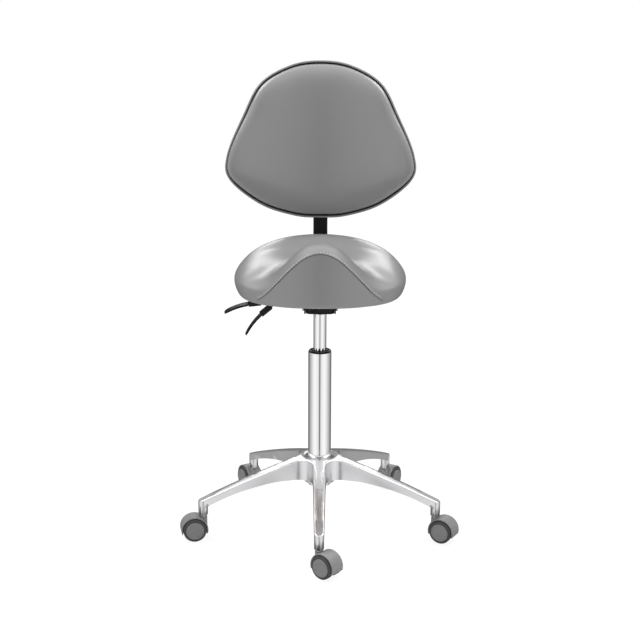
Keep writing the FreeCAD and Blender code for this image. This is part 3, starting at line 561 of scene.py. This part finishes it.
# stitches: one thread bump, copied along a line of places and joined
stitches = dict(above=0.0046, pitch=0.0066, length=0.0044, width=0.0026, sink=-0.0001, reach=0.128,
                segments=8, rings=5, seamSteps=2000, creasePitch=0.002, creaseRadius=0.0009,
                creaseSink=0.0004, angle=60)


def makeStitch(length, width):
    deselectAll()
    bpy.ops.mesh.primitive_uv_sphere_add(segments=stitches["segments"],
                                         ring_count=stitches["rings"], radius=1.0)
    stitch = bpy.context.object
    bpy.ops.object.mode_set(mode="EDIT")
    bpy.ops.transform.resize(value=(length / 2, width / 2, width / 2))
    bpy.ops.object.mode_set(mode="OBJECT")
    return stitch


def sewRow(name, places, pad, length, width, sink):
    stitch = makeStitch(length, width)
    copies = []
    for before, after in zip(places, places[1:]):
        found, spot, normal, face = pad.closest_point_on_mesh((before + after) / 2)
        along = (after - before).normalized()
        side = normal.cross(along).normalized()
        turn = Matrix((along, side, normal)).transposed().to_4x4()
        twin = stitch.copy()
        twin.data = stitch.data.copy()
        bpy.context.scene.collection.objects.link(twin)
        twin.matrix_world = Matrix.Translation(spot - normal * sink) @ turn
        copies.append(twin)
    bpy.data.objects.remove(stitch)
    deselectAll()
    for twin in copies:
        twin.select_set(True)
    bpy.context.view_layer.objects.active = copies[0]
    bpy.ops.object.join()
    bpy.ops.object.transform_apply(location=True, rotation=True, scale=True)
    row = bpy.context.object
    row.name = name
    fixNormals(row)
    smoothShade(row, stitches["angle"])
    return row


def seamPlaces(above, pitch):
    # even steps along the panel seam, from one side to the other
    count = stitches["seamSteps"]
    places = []
    for i in range(count):
        angle = math.pi + math.pi * (i + 0.5) / count
        low, seam, rim = wallHeights(angle)
        point = Vector(wallPoint(angle, min(seam, rim), low, rim)) + Vector((0, 0, above))
        if abs(point.x) < stitches["reach"]:
            if not places or (point - places[-1]).length >= pitch:
                places.append(point)
    return places


stitchPlaces = seamPlaces(stitches["above"], stitches["pitch"])
seatStitches = sewRow("seatStitches", stitchPlaces, seatCover, stitches["length"],
                      stitches["width"], stitches["sink"])
seatStitches.data.materials.append(greyThread)
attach(seatStitches, "seat")


def roundCord(name, places, radius, closed):
    path = bpy.data.curves.new(name, "CURVE")
    path.dimensions = "3D"
    path.bevel_depth = radius
    path.bevel_resolution = 2
    path.use_fill_caps = not closed
    spline = path.splines.new("POLY")
    spline.points.add(len(places) - 1)
    for point, place in zip(spline.points, places):
        point.co = (*place, 1.0)
    spline.use_cyclic_u = closed
    cord = bpy.data.objects.new(name, path)
    bpy.context.scene.collection.objects.link(cord)
    makeActive(cord)
    bpy.ops.object.convert(target="MESH")
    cord = bpy.context.object
    smoothShade(cord, stitches["angle"])
    return cord


# a dark cord laid in the seam's groove is painted shade: it darkens the crease where shade falls
creasePlaces = []
for place in seamPlaces(0.0, stitches["creasePitch"]):
    found, spot, normal, face = seatCover.closest_point_on_mesh(place)
    creasePlaces.append(spot - normal * stitches["creaseSink"])
seamShadeCord = roundCord("seamShadeCord", creasePlaces, stitches["creaseRadius"], False)
seamShadeCord.data.materials.append(creaseShade)
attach(seamShadeCord, "seat")
print("seat seam and stitches sewn:", len(seatStitches.data.polygons), "stitch faces")


# padded backrest and its shell, drawn round the leaning bar: across, behind and up
back = dict(
    foot=(0.222863, 0.554862), lean=5.0, bottom=0.097, height=0.343, halfWidth=0.207,
    side=[(0.319, 0.971), (0.636, 0.859), (0.816, 0.657), (0.985, 0.406), (0.962, 0.252),
          (0.645, 0.090), (0.282, 0.013)],
    curve=0.450, shellBack=-0.0083, wall=0.004, depth=0.013, rim=0.003, middle=0.42, steps=12,
    backRound=0.0015, lipRound=0.001, faceShares=(0.25, 0.5, 0.75, 0.9),
    padInset=0.0030, padGap=0.0004, sideHeight=0.018, sideShares=(0.0, 0.25, 0.5, 0.75, 1.0),
    crown=0.017, crownPower=7.0, padRings=26, pressure=4.0, swell=0.004, smoothing=2,
    bossHalf=(0.036, 0.006, 0.059), bossUp=0.232, bossRound=0.003, bossSink=0.0001, angle=40,
    pipeInset=-0.0003, pipeDepth=0.0138, pipeRadius=0.0022)


def backOutline():
    # a smooth closed curve through the top, one side, the bottom and the other side
    side = [(x * back["halfWidth"], back["bottom"] + z * back["height"]) for x, z in back["side"]]
    keys = [(0.0, back["bottom"] + back["height"])] + side + [(0.0, back["bottom"])]
    keys += [(-x, z) for x, z in reversed(side)]
    count = len(keys)
    points = []
    for i in range(count):
        before, first, last, after = (Vector(keys[(i + k) % count]) for k in (-1, 0, 1, 2))
        for step in range(back["steps"]):
            t = step / back["steps"]
            points.append(0.5 * (2 * first + (last - before) * t
                                 + (2 * before - 5 * first + 4 * last - after) * t ** 2
                                 + (3 * first - before - 3 * last + after) * t ** 3))
    return points


def drawnIn(outline, inset):
    moved = []
    for i, point in enumerate(outline):
        along = (outline[(i + 1) % len(outline)] - outline[i - 1]).normalized()
        moved.append(point + Vector((along.y, -along.x)) * inset)
    return moved


def onBack(x, z, depth):
    # a point of the bowed backrest, a depth in front of the shell's back
    y = back["shellBack"] - back["curve"] + math.sqrt((back["curve"] - depth) ** 2 - x * x)
    lean = math.radians(back["lean"])
    footY, footZ = back["foot"]
    return (x, footY + y * math.cos(lean) + z * math.sin(lean),
            footZ - y * math.sin(lean) + z * math.cos(lean))


def ringPiece(name, rings):
    # rings of (points, depth) joined into one closed shell, with a point at each end
    count = len(rings[0][0])
    points = [onBack(p.x, p.y, depth) for ring, depth in rings for p in ring]
    faces = []
    for r in range(len(rings) - 1):
        for i in range(count):
            j = (i + 1) % count
            faces.append((r * count + i, r * count + j, (r + 1) * count + j, (r + 1) * count + i))
    for ring, start, step in ((rings[0], 0, -1), (rings[-1], (len(rings) - 1) * count, 1)):
        middle = Vector((0.0, back["bottom"] + back["height"] * back["middle"]))
        points.append(onBack(middle.x, middle.y, ring[1]))
        for i in range(count):
            faces.append((start + i, start + (i + 1) % count, len(points) - 1)[::step])
    piece = newPiece(name, points, faces)
    fixNormals(piece)
    return piece


def scaled(outline, share):
    middle = Vector((0.0, back["bottom"] + back["height"] * back["middle"]))
    return [middle + (point - middle) * share for point in outline]


outline = backOutline()
rimLine = drawnIn(outline, back["rim"])
rings = [(scaled(outline, share), 0.0) for share in back["faceShares"]]
rings += [(drawnIn(outline, back["backRound"]), 0.0), (outline, back["backRound"]),
          (outline, back["depth"] - back["lipRound"]),
          (drawnIn(outline, back["lipRound"]), back["depth"]),
          (rimLine, back["depth"]), (rimLine, back["wall"])]
rings += [(scaled(rimLine, share), back["wall"]) for share in reversed(back["faceShares"])]
backShell = ringPiece("backShell", rings)
smoothShade(backShell, back["angle"])

# the boss that the slider is screwed to
deselectAll()
bossPlace = onBack(0.0, back["bossUp"], back["bossHalf"][1] - back["bossSink"])
bpy.ops.mesh.primitive_cube_add(size=2.0, location=bossPlace)
backBoss = bpy.context.object
backBoss.name = "backBoss"
bpy.ops.transform.resize(value=back["bossHalf"])
backBoss.rotation_euler.x = -math.radians(back["lean"])
bpy.ops.object.transform_apply(location=True, rotation=True, scale=True)
bpy.ops.object.mode_set(mode="EDIT")
bpy.ops.mesh.select_all(action="SELECT")
bpy.ops.mesh.bevel(offset=back["bossRound"], segments=3)
bpy.ops.object.mode_set(mode="OBJECT")
smoothShade(backBoss, back["angle"])

# the pad: its flat back, its sides and its crowned front
padLine = drawnIn(outline, back["padInset"])
floorDepth = back["wall"] + back["padGap"]
rings = [(scaled(padLine, share), floorDepth) for share in back["faceShares"]]
rings += [(padLine, floorDepth + back["sideHeight"] * share) for share in back["sideShares"]]
floorRings = rings[:len(back["faceShares"]) + 1]
for i in range(1, back["padRings"]):
    share = math.cos(i / back["padRings"] * math.pi / 2)
    rise = back["crown"] * math.sqrt(1 - share ** back["crownPower"])
    rings.append((scaled(padLine, share), floorDepth + back["sideHeight"] + rise))
backPad = ringPiece("backPad", rings)
floorPoints = {tuple(round(c, 5) for c in onBack(p.x, p.y, floorDepth))
               for ring, depth in floorRings for p in ring}
inflate(backPad, back["pressure"], back["swell"],
        lambda p: tuple(round(c, 5) for c in p) in floorPoints)
finishPad(backPad, back["smoothing"])

# piping round the pad's foot
pipeLine = [onBack(place.x, place.y, back["pipeDepth"])
            for place in drawnIn(outline, back["pipeInset"])]
backPiping = roundCord("backPiping", pipeLine, back["pipeRadius"], True)

for piece, finish in ((backShell, "black_plastic"), (backBoss, "black_plastic"),
                      (backPad, "grey_vinyl"), (backPiping, "grey_vinyl")):
    piece.data.materials.append(finishes[finish])
    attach(piece, "backrest")
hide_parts("backrest_shell")
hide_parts("backrest_cushion")
print("back pad:", len(backPad.data.polygons), "faces")


# stage, light and camera
studio = dict(
    floorSize=12.0, floorTone=0.82, glow=1.13, glowShare=0.8,
    cameraPlace=(0.0, -2.9451, 1.2373), pitch=14.65, roll=0.24, lens=80.03, sensor=36.0,
    lampTarget=(0, 0, 0.6), lampNames={-1: "left", 1: "right"},
    highLamp=dict(out=1.1, y=0.3, z=2.24, width=0.9, height=1.1, power=20),
    backLamp=dict(out=0.65, y=2.2, z=1.4, width=0.5, height=0.6, power=2.4))

# what metal and vinyl mirror: brightness by the share of a half turn from the front, then overhead
surroundings = dict(
    steps=[(0.0, 0.12), (0.02, 0.2), (0.045, 0.72), (0.13, 0.9), (0.23, 1.0), (0.3, 1.0),
           (0.42, 0.8), (0.5, 0.62), (0.6, 0.46), (0.7, 0.25), (0.82, 0.12), (1.0, 0.1)],
    overheadFrom=0.25, overheadTo=0.8, overhead=0.95, softLight=0.6)


def makeFloor():
    deselectAll()
    bpy.ops.mesh.primitive_plane_add(size=studio["floorSize"], location=(0, 0, 0))
    floor = bpy.context.object
    floor.name = "studioFloor"
    material = bpy.data.materials.new("paleFloor")
    material.use_nodes = True
    tree = material.node_tree
    tree.nodes.clear()
    output = tree.nodes.new("ShaderNodeOutputMaterial")
    path = tree.nodes.new("ShaderNodeLightPath")
    diffuse = tree.nodes.new("ShaderNodeBsdfDiffuse")
    diffuse.inputs["Color"].default_value = (*[studio["floorTone"]] * 3, 1)
    glow = tree.nodes.new("ShaderNodeEmission")
    glow.inputs["Strength"].default_value = studio["glow"]
    pale = tree.nodes.new("ShaderNodeMixShader")
    pale.inputs[0].default_value = studio["glowShare"]
    tree.links.new(diffuse.outputs[0], pale.inputs[1])
    tree.links.new(glow.outputs[0], pale.inputs[2])
    seen = tree.nodes.new("ShaderNodeMixShader")
    tree.links.new(path.outputs["Is Camera Ray"], seen.inputs[0])
    tree.links.new(diffuse.outputs[0], seen.inputs[1])
    tree.links.new(pale.outputs[0], seen.inputs[2])
    clear = tree.nodes.new("ShaderNodeBsdfTransparent")
    mirrored = tree.nodes.new("ShaderNodeMixShader")
    tree.links.new(path.outputs["Is Glossy Ray"], mirrored.inputs[0])
    tree.links.new(seen.outputs[0], mirrored.inputs[1])
    tree.links.new(clear.outputs[0], mirrored.inputs[2])
    tree.links.new(mirrored.outputs[0], output.inputs["Surface"])
    floor.data.materials.append(material)


def makeWorld():
    world = bpy.data.worlds.new("softStudio")
    bpy.context.scene.world = world
    world.use_nodes = True
    tree = world.node_tree
    tree.nodes.clear()
    output = tree.nodes.new("ShaderNodeOutputWorld")
    path = tree.nodes.new("ShaderNodeLightPath")
    coordinates = tree.nodes.new("ShaderNodeTexCoord")
    apart = tree.nodes.new("ShaderNodeSeparateXYZ")
    tree.links.new(coordinates.outputs["Generated"], apart.inputs[0])
    flip = addNode(tree, "ShaderNodeMath", operation="MULTIPLY")
    flip.inputs[1].default_value = -1.0
    tree.links.new(apart.outputs["Y"], flip.inputs[0])
    turn = addNode(tree, "ShaderNodeMath", operation="ARCTAN2")
    tree.links.new(apart.outputs["X"], turn.inputs[0])
    tree.links.new(flip.outputs[0], turn.inputs[1])
    size = addNode(tree, "ShaderNodeMath", operation="ABSOLUTE")
    tree.links.new(turn.outputs[0], size.inputs[0])
    share = addNode(tree, "ShaderNodeMath", operation="DIVIDE")
    share.inputs[1].default_value = math.pi
    tree.links.new(size.outputs[0], share.inputs[0])
    ramp = tree.nodes.new("ShaderNodeValToRGB")
    while len(ramp.color_ramp.elements) < len(surroundings["steps"]):
        ramp.color_ramp.elements.new(0.5)
    for element, (place, value) in zip(ramp.color_ramp.elements, surroundings["steps"]):
        element.position = place
        element.color = (value, value, value, 1)
    tree.links.new(share.outputs[0], ramp.inputs[0])
    overhead = addNode(tree, "ShaderNodeMapRange")
    overhead.inputs["From Min"].default_value = surroundings["overheadFrom"]
    overhead.inputs["From Max"].default_value = surroundings["overheadTo"]
    tree.links.new(apart.outputs["Z"], overhead.inputs["Value"])
    mixed = addNode(tree, "ShaderNodeMix", data_type="RGBA")
    tree.links.new(overhead.outputs[0], mixed.inputs["Factor"])
    tree.links.new(ramp.outputs["Color"], mixed.inputs["A"])
    mixed.inputs["B"].default_value = (*[surroundings["overhead"]] * 3, 1)
    mirror = tree.nodes.new("ShaderNodeBackground")
    tree.links.new(mixed.outputs["Result"], mirror.inputs["Color"])
    soft = tree.nodes.new("ShaderNodeBackground")
    soft.inputs["Color"].default_value = (1, 1, 1, 1)
    soft.inputs["Strength"].default_value = surroundings["softLight"]
    white = tree.nodes.new("ShaderNodeBackground")
    white.inputs["Color"].default_value = (1, 1, 1, 1)
    first = tree.nodes.new("ShaderNodeMixShader")
    tree.links.new(path.outputs["Is Glossy Ray"], first.inputs[0])
    tree.links.new(soft.outputs[0], first.inputs[1])
    tree.links.new(mirror.outputs[0], first.inputs[2])
    second = tree.nodes.new("ShaderNodeMixShader")
    tree.links.new(path.outputs["Is Camera Ray"], second.inputs[0])
    tree.links.new(first.outputs[0], second.inputs[1])
    tree.links.new(white.outputs[0], second.inputs[2])
    tree.links.new(second.outputs[0], output.inputs["Surface"])


def addSoftbox(name, side, values):
    light = bpy.data.lights.new(name, "AREA")
    light.shape = "RECTANGLE"
    light.size = values["width"]
    light.size_y = values["height"]
    light.energy = values["power"]
    lamp = bpy.data.objects.new(name, light)
    bpy.context.scene.collection.objects.link(lamp)
    place = Vector((values["out"] * side, values["y"], values["z"]))
    lamp.location = place
    aim = Vector(studio["lampTarget"]) - place
    lamp.rotation_euler = aim.to_track_quat("-Z", "Y").to_euler()
    lamp.visible_camera = False


makeFloor()
makeWorld()
for side, name in studio["lampNames"].items():
    addSoftbox(name + "Softbox", side, studio["highLamp"])
    addSoftbox(name + "BackLight", side, studio["backLamp"])

cameraData = bpy.data.cameras.new("camera")
cameraData.lens = studio["lens"]
cameraData.sensor_width = studio["sensor"]
camera = bpy.data.objects.new("camera", cameraData)
bpy.context.scene.collection.objects.link(camera)
pitched = Matrix.Rotation(math.radians(90 - studio["pitch"]), 4, "X")
rolled = Matrix.Rotation(math.radians(studio["roll"]), 4, "Z")
camera.matrix_world = Matrix.Translation(studio["cameraPlace"]) @ pitched @ rolled
bpy.context.scene.camera = camera
bpy.context.scene.view_settings.view_transform = "Standard"
print("stage, light and camera set")
